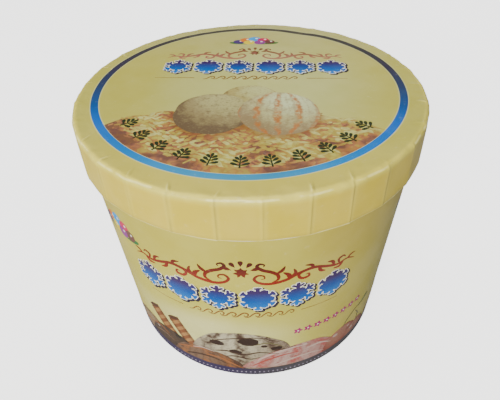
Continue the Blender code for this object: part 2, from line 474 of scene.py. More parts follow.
def pleated_cover(tree, given):
    """Turns the cover's profile and gives it its pleats, their pinched ends and a dent."""
    pleats = given["Pleats"]
    per_pleat = given["Columns"]
    grid, column, radius, height, marked = turned_grid(tree, given, pleats * per_pleat)
    skirt, top, margin = [marked(name) for name in ("skirt", "top", "margin")]

    # Where each column lies in its pleat, with the columns closer at the creases
    closeness = -0.62 / TURN
    gore = number("FLOOR", (column + 0.5) / per_pleat)
    even = column / per_pleat - gore
    share = number("SINE", even * TURN) * closeness + even
    angle = (gore + share) / pleats * TURN
    drift = number("SINE", angle * 11.0 + 2.6) * 0.7 + number("SINE", angle * 5.0 + 1.0)
    bearing = drift * given["Wander"] + angle + given["First Crease"]
    this_gore = number("FLOORED_MODULO", gore, pleats)
    next_gore = number("FLOORED_MODULO", gore + 1.0, pleats)

    # Each gore lies nearly flat, and rises to its free edge over the next gore
    centred = share * 2.0 - 1.0
    hollow = (1.0 - centred * centred) * given["Flatness"]
    lap = random_value(tree, 0.35, 1.0, 17, ID=this_gore) * given["Lap"]
    radius = (share * lap - hollow) * skirt + radius

    # Each gore's cut edge hangs a little higher or lower than its neighbours'
    hang = between(height, COVER_END + 6.0 * MM, COVER_END + 0.5 * MM) * given["Hang"]
    height = random_value(tree, -1.0, 1.0, 21, ID=this_gore) * hang + height

    # The glue has drawn the paper a little unevenly on to the board, most over the shoulder
    spot = turned_point(radius, bearing, height)
    creased = (cloud(spot, 115.0) - 0.58) * between(height, LID_TOP - 4.5 * MM, LID_TOP - 1.5 * MM)
    sunk = (creased * 1.25 + (cloud(spot, 62.0, 3.0) - 0.72)) * given["Crumple"]
    radius = sunk * skirt + radius
    height = sunk * margin + height

    # The pinched ends of the pleats run in over the margin, each with its own lean
    width = radius * TURN / pleats
    from_this = share * width
    from_next = width - from_this
    inward = given["Ridge Start"] - radius

    def ridge(owner, away, side):
        curl = random_value(tree, -25.0, 25.0, 13, ID=owner) * (inward * inward)
        lean = (random_value(tree, -0.42, 0.30, 3, ID=owner) * inward + curl) * side
        scaled = (lean + away) / given["Ridge Width"]
        length = random_value(tree, 4.5 * MM, 11.5 * MM, 5, ID=owner)
        fade = clamped((1.0 - inward / length) * 1.6)
        fade = fade * random_value(tree, 0.10, 0.85, 9, ID=owner)
        # Each pinch gives its height, and its painted light and shade: light on the ridge, shade beside it
        bump = bell(scaled)
        return bump * fade, (bump - bell(scaled + 1.5 * side, 0.8)) * fade

    ridge_here, shade_here = ridge(this_gore, from_this, -1.0)
    ridge_next, shade_next = ridge(next_gore, from_next, 1.0)
    pinch = number("MAXIMUM", ridge_here, ridge_next) * top
    height = pinch * given["Ridge Height"] + height

    # One soft dent near the back edge, and a slight unevenness of the margin
    dent = bell(distance(turned_point(radius, bearing, 0.0), DENT_PLACE) / given["Dent Spread"])
    height = height - dent * given["Dent Depth"] * marked("dented")
    uneven = number("SINE", angle * 7.0) * 0.5 + number("SINE", angle * 3.0 + 0.4)
    height = uneven * (0.16 * MM) * margin + height

    # The fold's distance in millimetres is kept for the paper, and so are the painted light and
    # shade on the sides of the pinches
    grid = marked_as(grid, "fold_distance", number("MINIMUM", from_this, from_next) * (1.0 / MM))
    grid = marked_as(grid, "pinch", (shade_here + shade_next) * top)
    return close_up(grid, turned_point(radius, bearing, height))


# The cover's print: yellow, paler in the middle, inside a ring from pale blue at the front
# to dusk purple at the back; painted highlight and shade on the shoulder and folds
RING_CENTRE = (-1.0 * MM, 1.9 * MM)
RING_RADII = (102.8 * MM, 101.0 * MM)
RING_WIDTH = 5.0 * MM
RING_STOPS = (
    (0.0, (0.050, 0.225, 0.370)), (0.06, (0.018, 0.190, 0.430)), (0.16, (0.010, 0.132, 0.430)),
    (0.28, (0.008, 0.094, 0.400)), (0.38, (0.014, 0.062, 0.205)), (0.50, (0.022, 0.038, 0.092)),
    (0.64, (0.032, 0.028, 0.050)), (0.80, (0.040, 0.036, 0.040)), (1.0, (0.060, 0.054, 0.042)),
)


def ramp(share, stops):
    """A colour that runs through stops, each of them a place from 0 to 1 and a colour."""
    node = share.tree.nodes.new("ShaderNodeValToRGB")
    feed(node.inputs[0], share)
    elements = node.color_ramp.elements
    for place, _ in stops[1:-1]:
        elements.new(place)
    for element, (_, colour) in zip(sorted(elements, key=lambda e: e.position), stops):
        element.color = (*colour, 1.0)
    return Field(node.outputs[0])


def stored(tree, name, output=2):
    """A number that is stored on the mesh under a name, or with output 0 a colour."""
    return fed_node(tree, "ShaderNodeAttribute", attribute_name=name)[output]


cover_paper, tree = painted("cover_paper")
place = own_place(tree)
across, along, up = split(place)
ring_y = (along - RING_CENTRE[1]) / RING_RADII[1]
ring_q = hypotenuse((across - RING_CENTRE[0]) / RING_RADII[0], ring_y)
inside = (1.0 - ring_q) * RING_RADII[0]
on_top = between(up, LID_TOP - 2.0 * MM, LID_TOP - 1.2 * MM)
paler = between(ring_q, 0.97, 0.40) * 0.95 - between(across, 20.0 * MM, -100.0 * MM) * 0.55
paler = number("MAXIMUM", paler, 0.0) * on_top
colour = blend(paler, (0.374, 0.348, 0.075), (0.398, 0.408, 0.150))
colour = blend(between(along, -40.0 * MM, -110.0 * MM) * 0.7, colour, (0.495, 0.428, 0.086))
colour = blend(between(along, 20.0 * MM, 110.0 * MM) * 0.8, colour, (0.366, 0.356, 0.140))
on_skirt = between(up, LID_TOP - 1.0 * MM, LID_TOP - 5.0 * MM)
colour = blend(on_skirt, colour, (0.510, 0.408, 0.054))
halo = between(inside, -0.9 * MM, -0.3 * MM)
halo = halo * between(inside, RING_WIDTH + 0.9 * MM, RING_WIDTH + 0.3 * MM)
colour = blend(halo * on_top * 0.34, colour, (0.60, 0.68, 0.42))
band = between(inside, -0.15 * MM, 0.15 * MM)
band = band * between(inside, RING_WIDTH + 0.15 * MM, RING_WIDTH - 0.15 * MM)
colour = blend(band * on_top, colour, ramp(ring_y * 0.5 + 0.5, RING_STOPS))

# On the shoulder a painted highlight, a pale band with a brighter line along its top; at
# the folds a thin painted shadow, with a painted highlight beside it
from_axis = hypotenuse(across, along)
# Painted highlight: a pale, broken band over the shoulder
shoulder = between(from_axis, 110.5 * MM, 113.0 * MM)
shoulder = shoulder * between(up, LID_TOP - 6.0 * MM, LID_TOP - 2.0 * MM)
colour = blend(shoulder * (cloud(place, 160.0, 3.0) * 0.9 + 0.05), colour, (0.62, 0.545, 0.10))
# Painted highlight: a brighter line along the top of the shoulder
rim_highlight = between(up, LID_TOP - 2.2 * MM, LID_TOP - 1.7 * MM)
rim_highlight = rim_highlight * between(up, LID_TOP - 0.7 * MM, LID_TOP - 1.3 * MM)
rim_highlight = rim_highlight * between(cloud(place, 75.0, 4.0), 0.44, 0.58)
colour = blend(rim_highlight * 0.75, colour, (0.72, 0.68, 0.27))
fold = stored(tree, "fold_distance")
drawn_over = between(from_axis, 112.5 * MM, 114.0 * MM)
# Painted shadow in each fold, and painted highlight on the paper just beside it
fold_line = between(fold, 1.4, 0.0) * drawn_over * between(cloud(place, 55.0), 0.20, 0.68)
colour = blend(fold_line * 0.30, colour, (0.190, 0.178, 0.075))
fold_highlight = between(fold, 3.0, 1.0) * (1.0 - fold_line) * (drawn_over * 0.16)
colour = blend(fold_highlight, colour, (0.66, 0.60, 0.14))
# Painted highlight on the ridge of each pinch, and painted shade on the side beside it
pinch = stored(tree, "pinch")
colour = blend(between(pinch, 0.05, 0.95), colour, (0.64, 0.60, 0.19))
colour = blend(between(pinch, -0.05, -0.9) * 0.6, colour, (0.230, 0.200, 0.055))
# A pale band along the cut edge: the paper's edge, and a painted highlight on it
cut_edge_and_highlight = between(up, COVER_END + 1.0 * MM, COVER_END + 0.4 * MM)
cut_edge_and_highlight = cut_edge_and_highlight * (between(cloud(place, 45.0, 3.0), 0.4, 0.6) * 0.6 + 0.3)
finish_print(cover_paper, blend(cut_edge_and_highlight, colour, (0.70, 0.66, 0.27)), 0.1)

# Each row is a radius, a height, and how far it takes part in skirt, top, dent and margin
flat_radii = (0, 30, 60, 75, 84, 90, 94, 97)
cover_rows = [(radius * MM, LID_TOP, 0.0, 0.0, 1.0, 0.0) for radius in flat_radii]
for step in range(16):
    share = step / 15.0
    radius = 98.5 * MM + share * (LID_RADIUS - SHOULDER_IN - 98.5 * MM)
    cover_rows.append((radius, LID_TOP, 0.0, 1.0, 1.0, share))
for step in range(1, 9):
    turn = 0.5 * math.pi * step / 8.0
    radius = LID_RADIUS - SHOULDER_IN * (1.0 - math.sin(turn))
    height = LID_TOP - SHOULDER_DOWN * (1.0 - math.cos(turn))
    left = 1.0 - step / 8.0
    cover_rows.append((radius, height, min(1.0, step / 4.0), max(0.0, 1.0 - step / 5.0), left, left))
for step in range(1, 9):
    height = LID_TOP - SHOULDER_DOWN + (COVER_END + 0.3 * MM - LID_TOP + SHOULDER_DOWN) * step / 8.0
    cover_rows.append((LID_RADIUS + 0.1 * MM * step / 8.0, height, 1.0, 0.0, 0.0, 0.0))
cover_rows += [
    (LID_RADIUS - 0.1 * MM, COVER_END, 1.0, 0.0, 0.0, 0.0),
    (LID_RADIUS - 0.6 * MM, COVER_END, 0.5, 0.0, 0.0, 0.0),
    (113.9 * MM, COVER_END + 0.1 * MM, 0.0, 0.0, 0.0, 0.0),
    (113.9 * MM, 181.4 * MM, 0.0, 0.0, 0.0, 0.0),
    (0.0, 181.4 * MM, 0.0, 0.0, 0.0, 0.0),
]
marks = ["skirt", "top", "dented", "margin"]
sizes = {"Pleats": 29, "Columns": 28, **COVER_SIZES}
PLEATED = geometry_tree("pleated_cover", pleated_cover, Int=["Pleats", "Columns"], Float=list(COVER_SIZES))
cover = turned_piece("lid_cover", cover_rows, marks, PLEATED, cover_paper, sizes, 40.0)
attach(cover, "root")
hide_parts("lid")


# The lid's board. Under the paper the cap's skirt is a band of grey-white board, which
# shows as a thin pale line below the paper's edge and as the lid's inside.
lid_board = plain_turned("lid_board", [
    (113.3, 154.4), (113.5, 154.0), (114.0, 154.0), (114.15, 154.2), (114.15, 179.6),
    (113.3, 179.6), (113.3, 154.4),
], 240)
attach(lid_board, "root")


# The six crystals. Over each picture the pack carries a row of snow crystals, printed
# from blue at the foot to purple at the head, with a white outline and a dusky shadow.
WALL_SIZES = {
    "Print Radius": 107.0 * MM, "Foot Radius": WALL_FOOT_RADIUS,
    "Mouth Radius": WALL_MOUTH_RADIUS, "Wall Height": WALL_HEIGHT, **SEAM_SIZES,
}
PRINT_UNIT = 100.0
FILM_BACK = 0.03 * MM
SKY_INK = (0.014, 0.150, 0.460)
BLUE_INK = (0.008, 0.070, 0.290)
PURPLE_INK = (0.034, 0.016, 0.080)
WHITE_INK = (0.66, 0.66, 0.55)
SHADOW_INK = (0.018, 0.013, 0.030)

printed_ink, tree = painted("printed_ink")
finish_print(printed_ink, stored(tree, "ink", 0), 0.06)


def cut(bm, place, across):
    """Cuts all faces along a plane through a place, square to a direction."""
    whole = bm.verts[:] + bm.edges[:] + bm.faces[:]
    bmesh.ops.bisect_plane(bm, geom=whole, dist=0.001 * MM, plane_co=place, plane_no=across)


def flat_art(name, shapes, levels=()):
    """Draws print flat, in millimetres across and up, facing the front.

    Each shape is (outline or ribbon, lift, ink). A ribbon is a list of point pairs. An
    ink is a colour, or a function that gives the colour at a point. The levels are
    heights at which the shapes are cut, so that a run of colour can follow them.
    """
    bm = bmesh.new()
    inks = bm.loops.layers.float_color.new("ink")
    owner = bm.faces.layers.int.new("owner")
    for index, (points, lift, _) in enumerate(shapes):
        if isinstance(points[0][0], tuple):
            rails = [[bm.verts.new((x * MM, -lift * MM, z * MM)) for x, z in pair] for pair in points]
            faces = [bm.faces.new((a[0], a[1], b[1], b[0])) for a, b in zip(rails, rails[1:])]
        else:
            area = sum(a[0] * b[1] - b[0] * a[1] for a, b in zip(points, points[1:] + points[:1]))
            ordered = points if area > 0.0 else points[::-1]
            faces = [bm.faces.new([bm.verts.new((x * MM, -lift * MM, z * MM)) for x, z in ordered])]
        for face in faces:
            face[owner] = index
    for level in levels:
        cut(bm, (0.0, 0.0, level * MM), (0.0, 0.0, 1.0))
    for face in bm.faces:
        ink = shapes[face[owner]][2]
        for loop in face.loops:
            x, z = loop.vert.co.x / MM, loop.vert.co.z / MM
            loop[inks] = (*(ink(x, z) if callable(ink) else ink), 1.0)
    bm.faces.layers.int.remove(owner)
    bmesh.ops.triangulate(bm, faces=bm.faces[:])
    mesh = bpy.data.meshes.new(name)
    bm.to_mesh(mesh)
    bm.free()
    return linked(name, mesh)


def film(art, strip=None):
    """Cuts flat art into strips that can bend, and gives it the thickness of a film."""
    bm = bmesh.new()
    bm.from_mesh(art.data)
    if strip:
        places = [v.co.x / (strip * MM) for v in bm.verts]
        for i in range(math.ceil(min(places)), math.floor(max(places)) + 1):
            cut(bm, (i * strip * MM, 0.0, 0.0), (1.0, 0.0, 0.0))
    print_place = bm.loops.layers.uv.new("print")
    for face in bm.faces:
        for loop in face.loops:
            place = loop.vert.co / (PRINT_UNIT * MM)
            loop[print_place].uv = (place.x, place.z)
    whole = bm.verts[:] + bm.edges[:] + bm.faces[:]
    thick = bmesh.ops.extrude_face_region(bm, geom=whole, use_keep_orig=True)
    for part in thick["geom"]:
        if isinstance(part, bmesh.types.BMVert):
            part.co.y = FILM_BACK
    bmesh.ops.recalc_face_normals(bm, faces=bm.faces)
    bm.to_mesh(art.data)
    bm.free()
    return art


def copied(points, motif, **way):
    """Copies of a motif on points, with their Rotation or Scale if it is given."""
    inputs = {"Points": points, "Instance": motif, **way}
    return fed_node(points.tree, "GeometryNodeInstanceOnPoints", inputs)[0]


def print_on_wall(tree, given):
    """Repeats flat print in equal panels round the wall and bends it on to its taper."""
    pitch = given["Print Radius"] / given["Panels"] * TURN
    offset = fed_node(tree, "ShaderNodeCombineXYZ", {0: pitch})[0]
    inputs = {"Count": given["Panels"], "Offset": offset}
    panels = copied(fed_node(tree, "GeometryNodeMeshLine", inputs)[0], given["Geometry"])
    real = fed_node(tree, "GeometryNodeRealizeInstances", {0: panels})[0]
    x, y, z = split(fed_node(tree, "GeometryNodeInputPosition")[0])
    bearing = x / given["Print Radius"]
    flare = (given["Mouth Radius"] - given["Foot Radius"]) / given["Wall Height"]
    radius = flare * z + given["Foot Radius"] - y + seam_rise(bearing, given)
    return moved(real, Position=turned_point(radius, bearing, z))


def motif_row(tree, given):
    """Sets one motif in a row, at an even pitch."""
    inputs = {"Count": given["Count"], "Start Location": given["Start"], "Offset": given["Pitch"]}
    return copied(fed_node(tree, "GeometryNodeMeshLine", inputs)[0], given["Geometry"])


def in_row(art, count, start, pitch):
    """Sets flat art in a row, its start and pitch in millimetres across and up."""
    start = (start[0] * MM, 0.0, start[1] * MM)
    pitch = (pitch[0] * MM, 0.0, pitch[1] * MM)
    return apply_tree(art, MOTIF_ROW, printed_ink, {"Count": count, "Start": start, "Pitch": pitch})


def on_wall(art, material=printed_ink, strip=4.0):
    """Prints flat art three times round the wall, with the wall's own roundness."""
    apply_tree(film(art, strip), WALL_PRINT, material, {"Panels": 3, **WALL_SIZES})
    lean = (WALL_MOUTH_RADIUS - WALL_FOOT_RADIUS) / WALL_HEIGHT
    mesh = art.data
    mesh.shade_smooth()
    normals = []
    for face in mesh.polygons:
        centre = Vector((face.center.x, face.center.y, 0.0)).normalized()
        front = face.normal.dot(centre) > 0.7
        for i in face.vertices:
            spot = mesh.vertices[i].co
            round_normal = Vector((spot.x, spot.y, -lean * math.hypot(spot.x, spot.y))).normalized()
            normals.append(round_normal if front else face.normal.copy())
    mesh.normals_split_custom_set(normals)
    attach(art, "root")


def on_lid(art, material=printed_ink):
    """Lays flat art on the lid's top as a film, its head towards the back."""
    laid = Matrix.Translation((0.0, 0.0, LID_TOP)) @ Matrix.Rotation(-math.pi / 2.0, 4, "X")
    film(art).data.transform(laid)
    art.data.materials.clear()
    art.data.materials.append(material)
    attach(art, "root")


def traced(rule, reach, level=0.0, slack=0.03):
    """Traces the outer line where a rule of the plane, in millimetres, falls to a level.

    The rule gives a number for arrays of x and z, lower inside than outside. Points
    within the slack of a straight run are left out.
    """
    steps = np.linspace(-reach, reach, 96)
    heights = rule(*np.meshgrid(steps, steps)) - level
    spots, following = {}, {}
    for j in range(len(steps) - 1):
        for i in range(len(steps) - 1):
            corners = [(i, j), (i + 1, j), (i + 1, j + 1), (i, j + 1)]
            crossed = []
            for a, b in zip(corners, corners[1:] + corners[:1]):
                first, second = heights[a[1], a[0]], heights[b[1], b[0]]
                if (first < 0.0) != (second < 0.0):
                    share = first / (first - second)
                    key = (min(a, b), max(a, b))
                    spots[key] = tuple(steps[p] + share * (steps[q] - steps[p]) for p, q in zip(a, b))
                    crossed.append((key, first < 0.0))
            for k, (key, leaves) in enumerate(crossed):
                if leaves:
                    following[key] = crossed[k - 1][0]
    longest = []
    while following:
        key = next(iter(following))
        line = []
        while key in following:
            line.append(spots[key])
            key = following.pop(key)
        longest = max(longest, line, key=len)
    kept, start = [longest[0]], 0
    for i in range(2, len(longest)):
        (ax, az), (bx, bz) = longest[start], longest[i]
        run, climb = bx - ax, bz - az
        limit = slack * math.hypot(run, climb)
        if any(abs(run * (z - az) - climb * (x - ax)) > limit for x, z in longest[start + 1:i]):
            start = i - 1
            kept.append(longest[start])
    return kept


def from_stroke(u, v, start, end, half):
    """The distance from a straight stroke with round ends."""
    run, climb = end[0] - start[0], end[1] - start[1]
    share = ((u - start[0]) * run + (v - start[1]) * climb) / (run * run + climb * climb)
    share = np.clip(share, 0.0, 1.0)
    return np.hypot(u - start[0] - share * run, v - start[1] - share * climb) - half


def crystal_rule(radius, heart, twigs):
    """The distance from a six-armed crystal with a heart and twigs (place, length, width)."""
    def rule(x, z):
        around = np.mod(np.arctan2(z, x), math.pi / 3.0) - math.pi / 6.0
        u = np.hypot(x, z) * np.cos(around) / radius
        v = np.hypot(x, z) * np.abs(np.sin(around)) / radius
        shape = np.minimum(from_stroke(u, v, (0.0, 0.0), (0.9, 0.0), 0.1), np.maximum(u, 0.0) - heart)
        for place, length, half in twigs:
            tip = (place + 0.5 * length, 0.866 * length)
            shape = np.minimum(shape, from_stroke(u, v, (place, 0.0), tip, half))
        return shape * radius
    return rule


def mixed(share, first, second):
    """An ink between two inks."""
    return tuple(a + (b - a) * share for a, b in zip(first, second))


def crystal_ink(low, high):
    """Sky blue at the foot of a crystal, then blue, and purple at its head."""
    def ink(x, z):
        share = 2.0 * min(1.0, max(0.0, (z - low) / (high - low)))
        if share < 1.0:
            return mixed(share, SKY_INK, BLUE_INK)
        return mixed(share - 1.0, BLUE_INK, PURPLE_INK)
    return ink


def crystal_row(name, radius, kind, start, pitch):
    """Three crystals of one kind, each with its white outline and its dusky shadow."""
    rule = crystal_rule(radius, *kind)
    reach = 1.25 * radius
    shadow = traced(rule, reach, 0.08 * radius)
    shadow = [(x + 0.10 * radius, z - 0.105 * radius) for x, z in shadow]
    art = flat_art(name, [
        (shadow, 0.04, SHADOW_INK),
        (traced(rule, reach, 0.05 * radius), 0.06, WHITE_INK),
        (traced(rule, reach), 0.08, crystal_ink(-0.95 * radius, 0.55 * radius)),
    ], [radius * share for share in (-0.7, -0.45, -0.2, 0.05, 0.3, 0.55)])
    return in_row(art, 3, start, (pitch, 0.0))


MOTIF_ROW = geometry_tree("motif_row", motif_row, Int=["Count"], Vector=["Start", "Pitch"])
WALL_PRINT = geometry_tree("print_on_wall", print_on_wall, Int=["Panels"], Float=list(WALL_SIZES))
crystal_kinds = (
    ("branched", (0.2, ((0.36, 0.24, 0.07), (0.64, 0.3, 0.075)))),
    ("plated", (0.30, ((0.52, 0.38, 0.085), (0.84, 0.15, 0.07)))),
)
for place, (label, kind) in enumerate(crystal_kinds):
    art = crystal_row("wall_crystals_" + label, 11.9, kind, (-64.5 + 24.6 * place, 97.2), 2.0 * 24.6)
    on_wall(art)
    art = crystal_row("lid_crystals_" + label, 10.6, kind, (-53.7 + 21.9 * place, 31.6), 2.0 * 21.9)
    on_lid(art)


# The scrolls. Above each row runs a traditional pair of scrolling vines, printed in
# red-brown, that meet under a crown of drops round a star.
VINE_DARK = (0.058, 0.010, 0.006)
VINE_RED = (0.210, 0.024, 0.012)
VINE_BROWN = (0.150, 0.058, 0.034)
VINE_ROSE = (0.300, 0.120, 0.080)

# Each brush line of the right-hand vine is its greatest width and the points along it
vine_lines = (
    (2.5, [(72, 1.6), (66, 4.4), (59, 3.0), (52, 5.0), (43, 8.2), (34, 6.4), (26, 2.0), (17, 0.0),
           (10.5, 1.4), (7.4, 5.0), (9.4, 8.4), (12.8, 8.0), (13.4, 5.6), (11.4, 4.9)]),
    (2.6, [(17, 0.6), (21.2, 3.6), (20.8, 8.0), (17, 11.2), (12.2, 13.4), (9.2, 16.6), (10.6, 19.0),
           (13.2, 18.0), (12.6, 16.2)]),
    (2.4, [(20.4, 9.0), (23.4, 11.6), (25.0, 15.0)]),
    (3.0, [(28, 3.0), (27.4, 6.6), (24.0, 9.4)]),
    (2.4, [(29.0, 4.0), (31.4, 7.4), (30.2, 11.4)]),
    (2.1, [(38, 8.0), (33.6, 4.6), (35.4, 0.8), (39.6, 1.2), (39.8, 4.0), (37.8, 3.6)]),
    (2.2, [(42.5, 8.0), (41.0, 11.2), (37.0, 12.4)]),
    (2.3, [(46, 7.4), (47.5, 3.4), (51.0, 1.6)]),
    (2.2, [(56.5, 3.6), (55.0, 7.8), (51.4, 9.2)]),
    (1.8, [(60.5, 3.2), (59.4, 7.4), (62.6, 9.0), (64.4, 7.0)]),
    (2.1, [(63.0, 4.0), (60.6, 0.4), (56.4, 0.6)]),
    (1.6, [(66.4, 4.2), (68.6, 6.6), (72.0, 7.2)]),
)


def smooth_line(points, per=7):
    """A smooth line through points, as closely spaced points."""
    ends = [points[0], *points, points[-1]]
    line = []
    for stretch in zip(ends, ends[1:], ends[2:], ends[3:]):
        for t in [i / per for i in range(per)]:
            line.append(tuple(
                0.5 * (2 * q + (r - p) * t + (2 * p - 5 * q + 4 * r - s) * t * t
                       + (3 * q - p - 3 * r + s) * t ** 3)
                for p, q, r, s in zip(*stretch)))
    return line + [points[-1]]


def brush(points, thick, thin=0.25, scale=1.0, mirror=1.0, move=(0.0, 0.0)):
    """A brush line as a ribbon: thin at both ends and thickest a third of the way."""
    line = smooth_line([(x * scale * mirror, z * scale) for x, z in points])
    pairs = []
    for i, (x, z) in enumerate(line):
        before, after = line[max(0, i - 1)], line[min(len(line) - 1, i + 1)]
        run, climb = after[0] - before[0], after[1] - before[1]
        length = math.hypot(run, climb) or 1.0
        swell = math.sin(math.pi * (i / (len(line) - 1)) ** 0.75)
        half = 0.5 * scale * (thin + (thick - thin) * swell)
        nx, nz = -climb / length * half, run / length * half
        pairs.append(((x + nx + move[0], z + nz + move[1]), (x - nx + move[0], z - nz + move[1])))
    return pairs


def ring_of(centre, radius, points, rule=lambda turn: 1.0):
    """A closed outline round a centre, whose radius may follow a rule of the angle."""
    outline = []
    for turn in [TURN * i / points for i in range(points)]:
        reach = radius * rule(turn)
        outline.append((centre[0] + reach * math.cos(turn), centre[1] + reach * math.sin(turn)))
    return outline


def drop(centre, turn_deg, length, width):
    """A drop that points away from a centre, its round end outwards."""
    turn = math.radians(90.0 - turn_deg)
    cosine, sine = math.cos(turn), math.sin(turn)
    outline = []
    for t in [TURN * i / 14.0 for i in range(14)]:
        x = 0.5 * length * (1.0 - math.cos(t))
        y = 0.5 * width * math.sin(t) * math.sin(t / 2.0) ** 1.5
        outline.append((centre[0] + x * cosine - y * sine, centre[1] + x * sine + y * cosine))
    return outline


def vine_art(name, scale, base_x, base_z, low_ink, high_ink):
    """The pair of vines with their leaves, the star, and the crown of drops over it."""
    def vine_ink(x, z):
        return mixed(min(1.0, max(0.0, (z - base_z) / (18.0 * scale))), low_ink, high_ink)

    shapes = []
    for mirror in (1.0, -1.0):
        for thick, points in vine_lines:
            line = brush(points, thick, 0.35, scale, mirror, (base_x, base_z))
            shapes.append((line, 0.04 + 0.003 * len(shapes), vine_ink))
    heart = (base_x, base_z + 11.2 * scale)
    star = ring_of(heart, 3.5 * scale, 28, lambda turn: 1.0 + 0.38 * math.cos(7.0 * turn - 3.5 * math.pi))
    shapes.append((star, 0.05, vine_ink))
    for turn in (-68.0, -34.0, 0.0, 34.0, 68.0):
        away, rise = math.sin(math.radians(turn)), math.cos(math.radians(turn))
        foot = (heart[0] + 5.6 * scale * away, heart[1] + 5.6 * scale * rise)
        shapes.append((drop(foot, turn, 5.2 * scale, 4.2 * scale), 0.05, vine_ink))
    return flat_art(name, shapes)


on_wall(vine_art("wall_scrolls", 1.0, 0.0, 112.0, VINE_RED, VINE_DARK))
on_lid(vine_art("lid_scrolls", 0.885, 0.4, 45.0, VINE_ROSE, VINE_BROWN))


# The rules. Below each row two thin orange-brown rules run in to a band of little waves,
# the old running-wave border.
RULE_INK = (0.160, 0.062, 0.018)
wave_line = [
    (-4.6, -2), (-2, -1.4), (0, 1), (2.2, 2.6), (4.2, 1.4), (3.8, -0.6), (2.2, -0.8), (2, 0.5),
]


def rule_art(name, centre_x, z, near, far, scale):
    """Two rules and, between them, a row of curling waves that fade towards the ends."""
    shapes = []
    for side in (1.0, -1.0):
        inner, outer = centre_x + side * near, centre_x + side * far
        line = [((inner, z + 0.3), (inner, z - 0.3)), ((outer, z + 0.12), (outer, z - 0.12))]
        shapes.append((line, 0.04, RULE_INK))
    for i in range(9):
        x = centre_x + (i - 4.0) * 7.6 * scale
        size = scale * (1.15 - 0.05 * abs(i - 4.0))
        wave = brush(wave_line, 1.0, 0.3, size, 1.0, (x, z))
        shapes.append((wave, 0.05 + 0.004 * (i % 2), RULE_INK))
    return flat_art(name, shapes)


on_wall(rule_art("wall_rules", -2.0, 79.4, 39.5, 66.0, 1.0))
on_lid(rule_art("lid_rules", -0.6, 14.0, 38.5, 66.0, 0.93))


# The lid's picture. In front of the middle lie three balls of ice cream on a bed of
# golden crumbs that runs down to the ring; printed in the paper, like all the rest.
def print_map(tree):
    """The place in the flat print, in hundreds of millimetres."""
    return fed_node(tree, "ShaderNodeUVMap", uv_map="print")[0]


def ball_values(tree, given):
    """The light on a printed picture of a ball, with the grain and the run of its scoop."""
    place = print_map(tree)
    inputs = {"Vector": place, "Scale": given["Grain Scale"], "Detail": 5.0, "Roughness": 0.62}
    grain, noise = fed_node(tree, "ShaderNodeTexNoise", inputs)
    lumps = fed_node(tree, "ShaderNodeSeparateColor", {0: noise})
    across, up, _ = split(place)
    flat_u = (across - given["Across"]) / given["Radius"]
    flat_v = (up - given["Up"]) / given["Radius"]
    u = (lumps[0] - 0.5) * given["Grain Depth"] + flat_u
    v = (lumps[1] - 0.5) * given["Grain Depth"] + flat_v
    height = number("SQRT", number("MAXIMUM", 1.0 - (u * u + v * v), 0.0))
    light = height * 0.7 + (u * given["Lean"] + v * 0.62)
    narrow = number("SQRT", number("MAXIMUM", 1.1 - flat_v * flat_v, 0.05))
    return {"Light": light, "Grain": grain, "Meridian": flat_u / narrow + lumps[2] * 0.3}


BALL_SIZES = ("Across", "Up", "Radius", "Lean", "Grain Scale", "Grain Depth")
PAINTED_BALL = shader_group("painted_ball", BALL_SIZES, ball_values)


def ball_print(name, centre, radius, lean, inks, grain, ripple=None):
    """A print material for a ball: dark, middle and light ink, and perhaps a ripple.

    The centre and radius are in millimetres, the grain is (scale, depth), and a ripple
    is (ink, how many across, where it stops being seen).
    """
    material, tree = painted(name + "_print")
    sizes = (centre[0] / PRINT_UNIT, centre[1] / PRINT_UNIT, 1.04 * radius / PRINT_UNIT, lean, *grain)
    inputs = dict(zip(BALL_SIZES, sizes))
    light, fleck, meridian = fed_node(tree, "ShaderNodeGroup", inputs, node_tree=PAINTED_BALL)
    dark, middle, pale = inks
    colour = blend(between(light, -0.05, 0.62), dark, middle)
    colour = blend(between(light, 0.5, 1.0), colour, pale)
    if ripple:
        ink, count, fade = ripple
        wave = between(number("SINE", meridian * (math.pi * count)), 0.1, 0.95)
        wave = wave * between(fleck, 0.36, 0.58) * between(meridian, fade, fade - 0.35)
        colour = blend(wave, colour, ink)
        ridge = between(number("SINE", meridian * (3.0 * math.pi * count)), 0.0, 0.8)
        colour = blend(ridge * between(fleck, 0.66, 0.42) * 0.34, colour, dark)
    frost = cloud(print_map(tree), 62.0, 2.0, (1.0, 1.5, 1.0))
    colour = blend(between(fleck, 0.44, 0.36) * 0.45, colour, dark)
    colour = blend(between(frost, 0.46, 0.34) * 0.38, colour, dark)
    colour = blend(between(frost, 0.55, 0.70) * 0.20, colour, pale)
    finish_print(material, colour, 0.06)
    return material


def lumpy(centre, radius, rough, seed, flat=1.0, points=72):
    """The outline of a ball or heap whose edge is a little torn."""
    draw = random.Random(seed)
    waves = [(k, rough / math.sqrt(k), draw.uniform(0.0, TURN)) for k in (2, 3, 5, 8, 13)]

    def torn(turn):
        return 1.0 + sum(height * math.sin(k * turn + start) for k, height, start in waves)

    outline = ring_of((0.0, 0.0), radius, points, torn)
    return [(centre[0] + x, centre[1] + z * flat) for x, z in outline]


